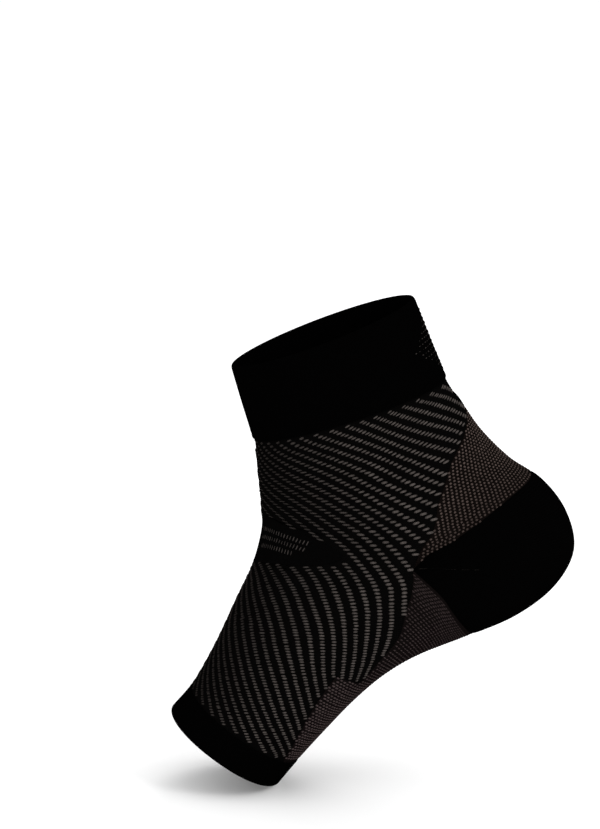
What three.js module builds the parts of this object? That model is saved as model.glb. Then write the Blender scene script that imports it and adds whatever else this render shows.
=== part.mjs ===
import * as THREE from 'three';

// Arch support sleeve: a knitted tube with a bend at the ankle, a closed heel pocket and an open
// toe end. It keeps its worn form, heel end lifted. Millimetres, +Z up, toe end toward -X.
// The origin is on the inner face of the heel pocket, in the middle plane.

// Driving dimensions
const FOOT_LENGTH = 200; // back of the heel to the toe mouth, along the sole
const SLEEVE_HEIGHT = 160; // sole to the front of the cuff's top edge, square to the sole
const HALF_WIDTH = 40; // middle plane to the side, a little over that of the widest section
const HEEL_LIFT = 38.6; // degrees between the sole and level ground
const KNIT_WALL = 1.4; // ribbed knit
const MESH_WALL = 1.1; // fine mesh of the tendon and sole panels
const HEEL_WALL = 1.8; // close knit of the heel
const TOE_BAND_WALL = 1.8; // folded edge at the toe mouth
const CUFF_WALL = 2.2; // doubled welt at the top
const PATCH_WALL = 1.2; // woven oval on the instep
const CUFF_STEP = 0.8; // how far the cuff stands out from the knit
const BAND_STEP = 0.3; // how far the toe band and the heel stand out
const GAP = 0.3; // clear space between neighbouring pieces
const ANKLE_BONE_RISE = 1.8; // height of the round bump on each side of the ankle
const ANKLE_BONE_SPREAD = 13; // radius of that bump
const ANKLE_BONE_U = 0.325; // its place along the sole, share of FOOT_LENGTH
const ANKLE_BONE_W = 0.45; // its height over the sole, share of SLEEVE_HEIGHT
const SEAT_STATION = 8.5; // section through the middle of the heel pocket

// Sections from the toe mouth (0) to the cuff's top edge (16). Each lies in a plane that holds
// the sideways axis and two points of the middle plane, front and back. Places along the sole
// (u) are shares of FOOT_LENGTH, heights over the sole (w) of SLEEVE_HEIGHT, half widths of
// HALF_WIDTH. "widest" is where the section is widest, as a share of the way from front to back.
// The last two columns are the exponents of its front and back halves (2 is an ellipse).
const SECTIONS = [
  // front u, front w, back u, back w, half width, widest, front round, back round
  [0.989, 0.355, 0.902, 0.018, 0.925, 0.54, 2.05, 2.05],
  [0.92, 0.373, 0.831, 0.0385, 0.962, 0.56, 2.05, 2.15],
  [0.823, 0.423, 0.749, 0.057, 0.975, 0.58, 2.0, 2.2],
  [0.719, 0.489, 0.648, 0.075, 0.962, 0.6, 1.95, 2.25],
  [0.649, 0.533, 0.559, 0.078, 0.937, 0.6, 1.95, 2.25],
  [0.602, 0.573, 0.474, 0.062, 0.925, 0.58, 1.95, 2.25],
  [0.568, 0.611, 0.372, 0.022, 0.912, 0.55, 1.95, 2.2],
  [0.551, 0.643, 0.257, -0.018, 0.9, 0.5, 1.95, 2.2],
  [0.541, 0.66, 0.153, -0.02, 0.9, 0.46, 1.95, 2.15],
  [0.533, 0.674, 0.072, 0.025, 0.912, 0.44, 2.0, 2.1],
  [0.525, 0.69, 0.034, 0.119, 0.9, 0.44, 2.0, 2.05],
  [0.515, 0.709, 0.031, 0.226, 0.875, 0.44, 2.0, 2.0],
  [0.504, 0.731, 0.056, 0.331, 0.85, 0.45, 2.0, 1.95],
  [0.491, 0.754, 0.066, 0.444, 0.825, 0.47, 2.0, 1.95],
  [0.478, 0.781, 0.06, 0.543, 0.812, 0.48, 2.0, 1.95],
  [0.462, 0.812, 0.055, 0.618, 0.812, 0.49, 2.0, 2.0],
  [0.398, 1.006, 0.001, 0.846, 0.8, 0.5, 2.0, 2.0],
];
const TOE_EDGE = 0; // station of the toe mouth
const TOE_BAND_END = 1; // station where the toe band meets the ribs
const CUFF_START = 15; // station of the cuff's lower edge
const CUFF_TOP = 16; // station of the cuff's top edge

// Rows of the ribbed body from the cuff to the toe band. A row runs from the front of the middle
// plane to the piece's side edge, which is closed at the back where its share is 1.
// A share is the part of the way round a section, 0 at the front and 1 at the back.
const BODY_ROWS = [
  // front station, side station, side share
  [15, 15, 1],
  [13.8, 13.8, 1],
  [13, 13.2, 0.88],
  [12, 12.5, 0.757],
  [10.6, 11.6, 0.662],
  [9.1, 10.65, 0.588],
  [7.3, 9.6, 0.545],
  [6.1, 8.6, 0.513],
  [5.1, 7.7, 0.52],
  [4.3, 6.95, 0.563],
  [3.8, 6.17, 0.613],
  [3.4, 5.3, 0.685],
  [3.1, 4.5, 0.715],
  [2.76, 3.6, 0.743],
  [2.7, 3.45, 0.62],
  [2.2, 2.7, 0.627],
  [1.8, 2.1, 0.647],
  [1, 1, 0.7],
];
const APEX_ROW = 8; // the row that ends at the point of the heel pocket

// Middle stations behind each of those rows: for the tendon panel down to the heel,
// and for the sole panel from the heel on
const TENDON_BACK = [15, 13.8, 13.65, 13.4, 13, 12.6, 12.2, 11.8, 11.42];
const SOLE_BACK = [6.12, 5.6, 5.2, 4.7, 4.2, 3.55, 3.4, 2.7, 2.1, 1];

// Edges of the heel pocket from its point at the side to the middle plane
const HEEL_EDGES = [
  // upper station, upper share, lower station, lower share
  [7.7, 0.52, 7.7, 0.52],
  [8.55, 0.54, 7.4, 0.575],
  [9.3, 0.603, 7.05, 0.65],
  [9.95, 0.675, 6.74, 0.71],
  [10.55, 0.762, 6.47, 0.78],
  [11.05, 0.868, 6.25, 0.87],
  [11.42, 1, 6.12, 1],
];

// The oval on the instep: how many of the body's columns it covers at rows of the body
const BODY_COLUMNS = 18; // from the front of the middle plane to the body's side edge
const PATCH_EDGE = [
  // body row, columns covered
  [6.35, 0],
  [6.4, 2],
  [6.52, 4],
  [6.72, 6],
  [7, 8],
  [7.35, 10],
  [7.85, 12],
  [8.35, 10],
  [8.7, 8],
  [8.98, 6],
  [9.18, 4],
  [9.3, 2],
  [9.35, 0],
];
const PATCH_MIDDLE = 7.85; // the row through its tips
const PATCH_HEIGHT_FIT = 0.95; // height of the oval as a share of its cut-out
const PATCH_LENGTH_FIT = 0.985; // its length as a share of the cut-out

const lerp = (a, b, f) => a + (b - a) * f;

// Value of a table at a fractional row, on a smooth curve through its rows
function smoothRow(table, at) {
  const last = table.length - 1;
  const x = Math.min(Math.max(at, 0), last);
  const i = Math.min(Math.floor(x), last - 1);
  const f = x - i;
  const b = table[i];
  const c = table[i + 1];
  const a = i > 0 ? table[i - 1] : b.map((v, k) => 2 * v - c[k]);
  const d = i < last - 1 ? table[i + 2] : c.map((v, k) => 2 * v - b[k]);
  return b.map((v, k) => {
    const q = 2 * a[k] - 5 * v + 4 * c[k] - d[k];
    const r = -a[k] + 3 * v - 3 * c[k] + d[k];
    return 0.5 * (2 * v + (c[k] - a[k]) * f + q * f * f + r * f * f * f);
  });
}

// Value of a table at a fractional row, straight between its rows
function plainRow(table, at) {
  const last = table.length - 1;
  const x = Math.min(Math.max(at, 0), last);
  const i = Math.min(Math.floor(x), last - 1);
  return table[i].map((v, k) => lerp(v, table[i + 1][k], x - i));
}

const SECTION_STEPS = 72; // points along half a section when it is measured
const sectionCache = new Map();

// Half a section as points [share of the way back, half width] with the length walked so far
function section(station) {
  const key = Math.round(station * 2000);
  if (sectionCache.has(key)) {
    return sectionCache.get(key);
  }
  const row = smoothRow(SECTIONS, station);
  const [frontU, frontW, backU, backW, half, widest, frontRound, backRound] = row;
  const front = [frontU * FOOT_LENGTH, frontW * SLEEVE_HEIGHT];
  const back = [backU * FOOT_LENGTH, backW * SLEEVE_HEIGHT];
  const depth = Math.hypot(front[0] - back[0], front[1] - back[1]);
  const points = [];
  let walked = 0;
  for (let k = 0; k <= SECTION_STEPS; k += 1) {
    const turn = (Math.PI * k) / SECTION_STEPS;
    const isFront = turn <= Math.PI / 2;
    const power = 2 / (isFront ? frontRound : backRound);
    const along = Math.pow(Math.abs(Math.cos(turn)), power);
    const across = Math.pow(Math.abs(Math.sin(turn)), power);
    const p = isFront ? widest * (1 - along) : widest + (1 - widest) * along;
    const v = k === 0 || k === SECTION_STEPS ? 0 : half * HALF_WIDTH * across;
    if (k > 0) {
      const before = points[k - 1];
      walked += Math.hypot((p - before.p) * depth, v - before.v);
    }
    points.push({ p, v, walked });
  }
  const made = { front, back, points, walked };
  sectionCache.set(key, made);
  return made;
}

const lift = THREE.MathUtils.degToRad(HEEL_LIFT);
const alongSole = new THREE.Vector3(-Math.cos(lift), 0, -Math.sin(lift));
const offSole = new THREE.Vector3(-Math.sin(lift), 0, Math.cos(lift));

// Point of the knit's outer face on the near side (-Y), before the origin is set
function skin(station, share) {
  const { front, back, points, walked } = section(station);
  const t = Math.min(Math.max(share, 0), 1);
  let k = 1;
  while (k < points.length - 1 && points[k].walked < t * walked) {
    k += 1;
  }
  const a = points[k - 1];
  const b = points[k];
  const f = (t * walked - a.walked) / (b.walked - a.walked);
  const p = lerp(a.p, b.p, f);
  const u = lerp(front[0], back[0], p);
  const w = lerp(front[1], back[1], p);
  const away = Math.hypot(u - ANKLE_BONE_U * FOOT_LENGTH, w - ANKLE_BONE_W * SLEEVE_HEIGHT);
  const bump = ANKLE_BONE_RISE * Math.exp(-((away / ANKLE_BONE_SPREAD) ** 2));
  const half = lerp(a.v, b.v, f);
  const v = half + bump * (half / HALF_WIDTH);
  return new THREE.Vector3(0, t === 0 || t === 1 ? 0 : -v, 0)
    .addScaledVector(alongSole, u)
    .addScaledVector(offSole, w);
}

// Outward normal of that face
function outward(station, share) {
  const step = 0.02;
  const low = Math.max(station - step, TOE_EDGE);
  const high = Math.min(station + step, CUFF_TOP);
  const up = skin(high, share).sub(skin(low, share));
  const reach = 0.01;
  if (share < reach || share > 1 - reach) {
    // on the middle plane the normal lies in that plane
    const normal = new THREE.Vector3(-up.z, 0, up.x).normalize();
    return share < reach ? normal : normal.negate();
  }
  const round = skin(station, share + reach).sub(skin(station, share - reach));
  return round.cross(up).normalize();
}

const seatNormal = outward(SEAT_STATION, 1);
const seat = skin(SEAT_STATION, 1).addScaledVector(seatNormal, BAND_STEP - HEEL_WALL);

// One closed shell, mirrored in the middle plane.
// stops are the places of its rows, from 0 to 1. at(r, c) gives [station, share] for r from the
// first row (0) to the last (1) and c from the front or side (0) to the side or back (1).
// face(r) gives [rise of the outer face, wall].
function shell({ name, stops, columns, at, face, trim, material }) {
  const rows = stops.length - 1;
  const positions = [];
  const triangles = [];
  const known = new Map();

  function vertex(v, mirrored) {
    const x = v.x - seat.x;
    const y = mirrored ? -v.y : v.y;
    const z = v.z - seat.z;
    const key = [x, y, z].map((n) => Math.round(n * 5000) + 0).join(',');
    if (!known.has(key)) {
      known.set(key, positions.length / 3);
      positions.push(x, y, z);
    }
    return known.get(key);
  }

  // rows and columns pulled in from the edges that meet a neighbour
  function trimmed(r, c) {
    const d = 0.01;
    const place = (rr, cc) => skin(...at(Math.min(Math.max(rr, 0), 1), Math.min(Math.max(cc, 0), 1)));
    const r0 = Math.min(r, 1 - d);
    const c0 = Math.min(c, 1 - d);
    const here = place(r0, c0);
    const byRow = place(r0 + d, c0).sub(here).divideScalar(d);
    const byColumn = place(r0, c0 + d).sub(here).divideScalar(d);
    const area = byRow.clone().cross(byColumn).length();
    const rowStep = Math.min((GAP * byColumn.length()) / area, 0.6);
    const columnStep = Math.min((GAP * byRow.length()) / area, 0.6);
    let rr = r;
    let cc = c;
    if (trim.first && r === 0) {
      rr = rowStep;
    }
    if (trim.last && r === 1) {
      rr = 1 - rowStep;
    }
    if (trim.start && c === 0) {
      cc = columnStep;
    }
    if (trim.end && c === 1) {
      cc = 1 - columnStep;
    }
    return at(rr, cc);
  }

  const grid = [];
  for (let i = 0; i <= rows; i += 1) {
    const line = [];
    for (let j = 0; j <= columns; j += 1) {
      const r = stops[i];
      const [station, share] = trimmed(r, j / columns);
      const [rise, wall] = face(r);
      const point = skin(station, share);
      const normal = outward(station, share);
      if (point.y === 0) {
        normal.y = 0;
        normal.normalize();
      }
      const outer = point.clone().addScaledVector(normal, rise);
      const inner = point.clone().addScaledVector(normal, rise - wall);
      line.push({
        near: [vertex(outer, false), vertex(inner, false)],
        far: [vertex(outer, true), vertex(inner, true)],
      });
    }
    grid.push(line);
  }

  const closedStart = (i) => grid[i][0].near[0] === grid[i][0].far[0];
  const closedEnd = (i) => grid[i][columns].near[0] === grid[i][columns].far[0];

  function quad(a, b, c, d, flip) {
    const corners = flip ? [a, d, c, b] : [a, b, c, d];
    const [p, q, r, s] = corners;
    if (p !== q && q !== r && p !== r) {
      triangles.push(p, q, r);
    }
    if (p !== r && r !== s && p !== s) {
      triangles.push(p, r, s);
    }
  }

  for (const side of ['near', 'far']) {
    const flip = side === 'far';
    for (let i = 0; i < rows; i += 1) {
      for (let j = 0; j < columns; j += 1) {
        const a = grid[i][j][side];
        const b = grid[i + 1][j][side];
        const c = grid[i + 1][j + 1][side];
        const d = grid[i][j + 1][side];
        quad(a[0], b[0], c[0], d[0], flip);
        quad(a[1], d[1], c[1], b[1], flip);
      }
      if (!(closedStart(i) && closedStart(i + 1))) {
        const a = grid[i][0][side];
        const b = grid[i + 1][0][side];
        quad(a[0], a[1], b[1], b[0], flip);
      }
      if (!(closedEnd(i) && closedEnd(i + 1))) {
        const a = grid[i][columns][side];
        const b = grid[i + 1][columns][side];
        quad(a[0], b[0], b[1], a[1], flip);
      }
    }
    for (let j = 0; j < columns; j += 1) {
      const a = grid[0][j][side];
      const b = grid[0][j + 1][side];
      quad(a[0], b[0], b[1], a[1], flip);
      const c = grid[rows][j][side];
      const d = grid[rows][j + 1][side];
      quad(c[0], c[1], d[1], d[0], flip);
    }
  }

  const geometry = new THREE.BufferGeometry();
  geometry.setAttribute('position', new THREE.Float32BufferAttribute(positions, 3));
  geometry.setIndex(triangles);
  geometry.computeVertexNormals();
  const mesh = new THREE.Mesh(geometry, material);
  mesh.name = name;
  return mesh;
}

// A wall that is rounded off toward the free or folded edges of a band
function rounded(rise, wall, roundFirst, roundLast) {
  return (r) => {
    const first = roundFirst ? Math.min(r / 0.08, 1) : 1;
    const last = roundLast ? Math.min((1 - r) / 0.08, 1) : 1;
    const full = Math.sqrt(1 - (1 - Math.min(first, last)) ** 2);
    const drop = wall * 0.3 * (1 - full);
    return [rise - drop, wall - 2 * drop];
  };
}

// Stations and shares of the zones

function bodyPoint(row, share01) {
  const [front, side, reach] = plainRow(BODY_ROWS, row);
  return [lerp(front, side, share01), reach * share01];
}

// Columns of the body that the oval covers at a row
function patchColumns(row) {
  const last = PATCH_EDGE.length - 1;
  if (row <= PATCH_EDGE[0][0] || row >= PATCH_EDGE[last][0]) {
    return 0;
  }
  const k = PATCH_EDGE.findIndex((edge) => edge[0] > row);
  const [row0, columns0] = PATCH_EDGE[k - 1];
  const [row1, columns1] = PATCH_EDGE[k];
  return lerp(columns0, columns1, (row - row0) / (row1 - row0));
}

// Place of each row of a list between the first and the last, from 0 to 1
const spread = (list) => list.map((row) => (row - list[0]) / (list.at(-1) - list[0]));

const heelUpper = (c) => plainRow(HEEL_EDGES, c * (HEEL_EDGES.length - 1)).slice(0, 2);
const heelLower = (c) => plainRow(HEEL_EDGES, c * (HEEL_EDGES.length - 1)).slice(2, 4);

// A row from the side edge to the middle plane behind, shaped like the heel's edge beside it
function behind(side, backStation, edge, likeEdge, c) {
  const [station0, share0] = edge(0);
  const [station1, share1] = edge(1);
  const [station, share] = edge(c);
  const alongStation = lerp(c, (station - station0) / (station1 - station0), likeEdge);
  const alongShare = lerp(c, (share - share0) / (share1 - share0), likeEdge);
  return [lerp(side[0], backStation, alongStation), lerp(side[1], 1, alongShare)];
}

const black = new THREE.MeshStandardMaterial({ color: 0x0c0b0c, roughness: 0.92, metalness: 0 });
const ribbed = new THREE.MeshStandardMaterial({ color: 0x231d1b, roughness: 0.9, metalness: 0 });
const mesh = new THREE.MeshStandardMaterial({ color: 0x2c2320, roughness: 0.9, metalness: 0 });
const soleMesh = new THREE.MeshStandardMaterial({ color: 0x302524, roughness: 0.9, metalness: 0 });
const heelKnit = new THREE.MeshStandardMaterial({ color: 0x0d0c0d, roughness: 0.94, metalness: 0 });
const woven = new THREE.MeshStandardMaterial({ color: 0x100e0e, roughness: 0.85, metalness: 0 });

const sleeve = new THREE.Group();
sleeve.name = 'arch_support_sleeve';

sleeve.add(shell({
  name: 'cuff_band',
  stops: [0, 0.02, 0.06, 0.5, 0.94, 0.98, 1],
  columns: 20,
  at: (r, c) => [lerp(CUFF_START, CUFF_TOP, 1 - r), c],
  face: rounded(CUFF_STEP, CUFF_WALL, true, true),
  trim: {},
  material: black,
}));

// rows of the body mesh: its own rows, and those of the oval's edge where that is cut out
const bodyRows = [
  0, 0.5, 1, 1.5, 2, 2.5, 3, 3.5, 4, 4.5, 5, 5.5, 6, ...PATCH_EDGE.map(([row]) => row),
  9.8, 10.4, 11, 12, 13, 14, 15, 16, 17,
];

sleeve.add(shell({
  name: 'ribbed_body',
  stops: spread(bodyRows),
  columns: BODY_COLUMNS,
  at: (r, c) => {
    const row = r * (BODY_ROWS.length - 1);
    return bodyPoint(row, Math.max(c, patchColumns(row) / BODY_COLUMNS));
  },
  face: () => [0, KNIT_WALL],
  trim: { first: true, last: true },
  material: ribbed,
}));

// rows of the cut-out that the oval fills; its ends are blunt
const patchFirst = lerp(PATCH_EDGE[0][0], PATCH_EDGE[1][0], 0.5);
const patchLast = lerp(PATCH_EDGE.at(-1)[0], PATCH_EDGE.at(-2)[0], 0.5);
const patchRows = [patchFirst, ...PATCH_EDGE.slice(1, -1).map(([row]) => row), patchLast];

sleeve.add(shell({
  name: 'instep_patch',
  stops: spread(patchRows),
  columns: 8,
  at: (r, c) => {
    const row = lerp(patchFirst, patchLast, r);
    const reach = (patchColumns(row) / BODY_COLUMNS) * PATCH_LENGTH_FIT;
    return bodyPoint(lerp(PATCH_MIDDLE, row, PATCH_HEIGHT_FIT), reach * c);
  },
  face: () => [0, PATCH_WALL],
  trim: {},
  material: woven,
}));

// rows of the two mesh panels, the same as the body's beside them
const tendonRows = [1.12, ...bodyRows.filter((row) => row > 1.2 && row < APEX_ROW)];
const soleRows = [APEX_ROW + 0.1, ...bodyRows.filter((row) => row > APEX_ROW + 0.1)];

sleeve.add(shell({
  name: 'achilles_panel',
  stops: spread(tendonRows),
  columns: 8,
  at: (r, c) => {
    const row = lerp(tendonRows[0], tendonRows.at(-1), r);
    const [back] = plainRow(TENDON_BACK.map((v) => [v]), row);
    const [, side, share] = plainRow(BODY_ROWS, row);
    return behind([side, share], back, heelUpper, Math.max(0, (row - 4) / (APEX_ROW - 4)), c);
  },
  face: () => [0, MESH_WALL],
  trim: { last: true, start: true },
  material: mesh,
}));

sleeve.add(shell({
  name: 'heel_pocket',
  stops: [0, 0.03, 0.08, 0.16, 0.24, 0.32, 0.4, 0.48, 0.56, 0.64, 0.72, 0.8, 0.88, 0.94, 0.97, 1],
  columns: 12,
  at: (r, c) => {
    const cc = lerp(0.08, 1, c);
    const upper = heelUpper(cc);
    const lower = heelLower(cc);
    return [lerp(upper[0], lower[0], r), lerp(upper[1], lower[1], r)];
  },
  face: rounded(BAND_STEP, HEEL_WALL, true, true),
  trim: {},
  material: heelKnit,
}));

sleeve.add(shell({
  name: 'sole_panel',
  stops: spread(soleRows),
  columns: 8,
  at: (r, c) => {
    const row = lerp(soleRows[0], soleRows.at(-1), r);
    const [back] = plainRow(SOLE_BACK.map((v) => [v]), row - APEX_ROW);
    const [, side, share] = plainRow(BODY_ROWS, row);
    return behind([side, share], back, heelLower, Math.max(0, 1 - (row - APEX_ROW) / 3), c);
  },
  face: () => [0, MESH_WALL],
  trim: { first: true, last: true, start: true },
  material: soleMesh,
}));

sleeve.add(shell({
  name: 'toe_band',
  stops: [0, 0.03, 0.08, 0.5, 0.92, 0.97, 1],
  columns: 18,
  at: (r, c) => [lerp(TOE_BAND_END, TOE_EDGE, r), c],
  face: rounded(BAND_STEP, TOE_BAND_WALL, true, true),
  trim: {},
  material: black,
}));

export default sleeve;
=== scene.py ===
"""Arch support sleeve: a knitted tube in its worn form, with its heel end lifted."""
import math

import bmesh
import bpy
import numpy as np
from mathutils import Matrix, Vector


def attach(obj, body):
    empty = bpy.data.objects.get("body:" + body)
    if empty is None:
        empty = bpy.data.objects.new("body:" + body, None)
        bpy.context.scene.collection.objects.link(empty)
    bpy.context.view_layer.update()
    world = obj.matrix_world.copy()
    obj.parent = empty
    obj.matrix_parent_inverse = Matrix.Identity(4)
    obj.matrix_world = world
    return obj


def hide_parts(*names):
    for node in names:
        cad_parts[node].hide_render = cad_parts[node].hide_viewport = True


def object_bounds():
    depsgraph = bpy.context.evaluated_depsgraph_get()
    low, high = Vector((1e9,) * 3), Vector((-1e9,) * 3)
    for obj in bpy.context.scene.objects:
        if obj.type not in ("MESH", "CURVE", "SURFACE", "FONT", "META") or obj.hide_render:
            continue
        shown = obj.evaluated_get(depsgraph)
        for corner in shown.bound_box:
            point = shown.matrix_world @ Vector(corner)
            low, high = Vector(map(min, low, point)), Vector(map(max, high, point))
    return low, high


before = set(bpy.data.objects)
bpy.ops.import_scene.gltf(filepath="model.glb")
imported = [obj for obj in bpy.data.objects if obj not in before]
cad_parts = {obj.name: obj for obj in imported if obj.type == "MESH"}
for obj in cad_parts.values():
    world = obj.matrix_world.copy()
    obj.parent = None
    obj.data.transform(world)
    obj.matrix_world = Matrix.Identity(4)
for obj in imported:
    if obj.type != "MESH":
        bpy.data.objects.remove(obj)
cad_box = [list(corner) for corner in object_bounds()]

# Named sizes, in millimetres, as in the solids
FOOT_LENGTH = 200.0
SLEEVE_HEIGHT = 160.0
HALF_WIDTH = 40.0
HEEL_LIFT = 38.6  # degrees
KNIT_WALL = 1.4
MESH_WALL = 1.1
HEEL_WALL = 1.8
TOE_BAND_WALL = 1.8
CUFF_WALL = 2.2
PATCH_WALL = 1.2
CUFF_STEP = 0.8
BAND_STEP = 0.3
ANKLE_BONE_RISE = 1.8
ANKLE_BONE_SPREAD = 13.0
ANKLE_BONE_U = 0.325
ANKLE_BONE_W = 0.45
SEAT_STATION = 8.5
MM = 0.001  # metres in a millimetre
MIRROR = np.array([1.0, -1.0, 1.0])

# Sections from the toe mouth (0) to the cuff's top edge (16), as in the solids:
# front u, front w, back u, back w, half width, widest, front round, back round
SECTIONS = np.array([
    [0.989, 0.355, 0.902, 0.018, 0.925, 0.54, 2.05, 2.05],
    [0.92, 0.373, 0.831, 0.0385, 0.962, 0.56, 2.05, 2.15],
    [0.823, 0.423, 0.749, 0.057, 0.975, 0.58, 2.0, 2.2],
    [0.719, 0.489, 0.648, 0.075, 0.962, 0.6, 1.95, 2.25],
    [0.649, 0.533, 0.559, 0.078, 0.937, 0.6, 1.95, 2.25],
    [0.602, 0.573, 0.474, 0.062, 0.925, 0.58, 1.95, 2.25],
    [0.568, 0.611, 0.372, 0.022, 0.912, 0.55, 1.95, 2.2],
    [0.551, 0.643, 0.257, -0.018, 0.9, 0.5, 1.95, 2.2],
    [0.541, 0.66, 0.153, -0.02, 0.9, 0.46, 1.95, 2.15],
    [0.533, 0.674, 0.072, 0.025, 0.912, 0.44, 2.0, 2.1],
    [0.525, 0.69, 0.034, 0.119, 0.9, 0.44, 2.0, 2.05],
    [0.515, 0.709, 0.031, 0.226, 0.875, 0.44, 2.0, 2.0],
    [0.504, 0.731, 0.056, 0.331, 0.85, 0.45, 2.0, 1.95],
    [0.491, 0.754, 0.066, 0.444, 0.825, 0.47, 2.0, 1.95],
    [0.478, 0.781, 0.06, 0.543, 0.812, 0.48, 2.0, 1.95],
    [0.462, 0.812, 0.055, 0.618, 0.812, 0.49, 2.0, 2.0],
    [0.398, 1.006, 0.001, 0.846, 0.8, 0.5, 2.0, 2.0],
])

# Rows of the ribbed body: front station, side station, side share
BODY_ROWS = np.array([
    [15, 15, 1],
    [13.8, 13.8, 1],
    [13, 13.2, 0.88],
    [12, 12.5, 0.757],
    [10.6, 11.6, 0.662],
    [9.1, 10.65, 0.588],
    [7.3, 9.6, 0.545],
    [6.1, 8.6, 0.513],
    [5.1, 7.7, 0.52],
    [4.3, 6.95, 0.563],
    [3.8, 6.17, 0.613],
    [3.4, 5.3, 0.685],
    [3.1, 4.5, 0.715],
    [2.76, 3.6, 0.743],
    [2.7, 3.45, 0.62],
    [2.2, 2.7, 0.627],
    [1.8, 2.1, 0.647],
    [1, 1, 0.7],
])
BREAKS = (1, 8, 13, 14)  # rows where the side edge turns sharply
APEX_ROW = 8
# Stations where the rows of the tendon panel and of the sole panel reach the back
TENDON_BACK = np.array([15, 13.8, 13.65, 13.4, 13, 12.6, 12.2, 11.8, 11.42])[:, None]
SOLE_BACK = np.array([6.12, 5.6, 5.2, 4.7, 4.2, 3.55, 3.4, 2.7, 2.1, 1])[:, None]
# Edges of the heel pocket: upper station, upper share, lower station, lower share
HEEL_EDGES = np.array([
    [7.7, 0.52, 7.7, 0.52],
    [8.55, 0.54, 7.4, 0.575],
    [9.3, 0.603, 7.05, 0.65],
    [9.95, 0.675, 6.74, 0.71],
    [10.55, 0.762, 6.47, 0.78],
    [11.05, 0.868, 6.25, 0.87],
    [11.42, 1, 6.12, 1],
])
BODY_COLUMNS = 18
PATCH_MIDDLE = 7.85  # body row at the middle of the oval
PATCH_HALF = 1.5  # half the oval's height, in body rows
PATCH_COLUMNS = 12  # columns that the oval covers at its middle
WALES = 140  # columns of stitches from the front of the middle plane to the back
COURSE = 1.5  # mm from one course to the next down the body
STITCHES = 2  # stitches in the height of a course
WALK_SHARE = 0.42  # share along which the walk down the body is measured
LAST_STATION = 16
LAST_ROW = 17

# Which dash row crosses the body at equal steps of the walk down it (lines, cuff to toe band)
# and of the share round it (columns, front to back)
ROW_NUMBERS = np.array([
    [-4.1, -0.52, 2.67, 5.51, 8.65, 11.33, 13.23],
    [-6.99, -3.86, -1.16, 1.66, 4.56, 6.76, 9.56],
    [-9.39, -6.68, -3.45, -0.06, 2.49, 4.95, 7.63],
    [-12.23, -9.98, -7.06, -2.99, 0.91, 3.74, 6.5],
    [-16.45, -13.57, -10.85, -6.91, -1.74, 1.86, 5.21],
    [-19.39, -16.32, -13.77, -10.76, -6.32, -1.14, 2.86],
    [-21.91, -19.44, -16.8, -13.98, -10.2, -5.35, -1.2],
    [-25.2, -22.88, -20.42, -17.8, -14.76, -10.82, -6.58],
    [-28.85, -26.93, -24.84, -22.47, -20, -16.5, -12.48],
])
# Walk down the body in mm; step from dash to dash in a row in mm, in front and at the side;
# tilt of the dashes in degrees toward the cuff, in front and at the side
DASHES = np.array([
    [0, 2.1, 1.25, 9, 14],
    [14, 2.15, 1.75, 7, 14],
    [30, 2.3, 2.25, 3, 12],
    [45, 2.45, 2.6, 1, 8],
    [60, 2.4, 2.6, 3, 4],
    [75, 1.7, 1.95, 12, 10],
    [90, 1.35, 1.5, 20, 12],
    [105, 1.3, 1.3, 26, 18],
    [120, 1.3, 1.3, 28, 27],
    [142, 1.3, 1.3, 30, 30],
    [166, 1.3, 1.3, 30, 30],
])
DASH_STEP, DASH_TILT = 1, 3  # first columns of the two quantities
DASH_FILL = 0.49  # part of the way from one row to the next that a dash covers
DASH_WIDTH = 0.68  # part of the step along a row that a dash covers
STEP = 0.01  # small step in rows or shares for directions and slopes


def curve(a, b, c, d, f):
    """Smooth way from b to c, with a before them and d after them."""
    q = 2 * a - 5 * b + 4 * c - d
    r = -a + 3 * b - 3 * c + d
    return 0.5 * (2 * b + (c - a) * f + q * f * f + r * f * f * f)


def smooth_table(table, at, breaks=()):
    """Rows of a table at fractional row numbers, smooth but for sharp turns at the breaks."""
    at = np.asarray(at, float)
    last = len(table) - 1
    x = np.clip(at, 0, last)
    i = np.minimum(x.astype(int), last - 1)
    f = (x - i)[..., None]
    b = table[i]
    c = table[i + 1]
    first = (i == 0) | np.isin(i, breaks)
    final = (i == last - 1) | np.isin(i + 1, breaks)
    a = np.where(first[..., None], 2 * b - c, table[np.maximum(i - 1, 0)])
    d = np.where(final[..., None], 2 * c - b, table[np.minimum(i + 2, last)])
    return curve(a, b, c, d, f)


# Directions of the section tables: u along the sole, w off it
LIFT = math.radians(HEEL_LIFT)
ALONG = np.array([-math.cos(LIFT), 0.0, -math.sin(LIFT)])
OFF = np.array([-math.sin(LIFT), 0.0, math.cos(LIFT)])


# The outer face of the knit, sampled once on a fine grid of stations and shares
FINE_S = np.linspace(0, LAST_STATION, 801)
FINE_T = np.linspace(0, 1, 401)


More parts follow.
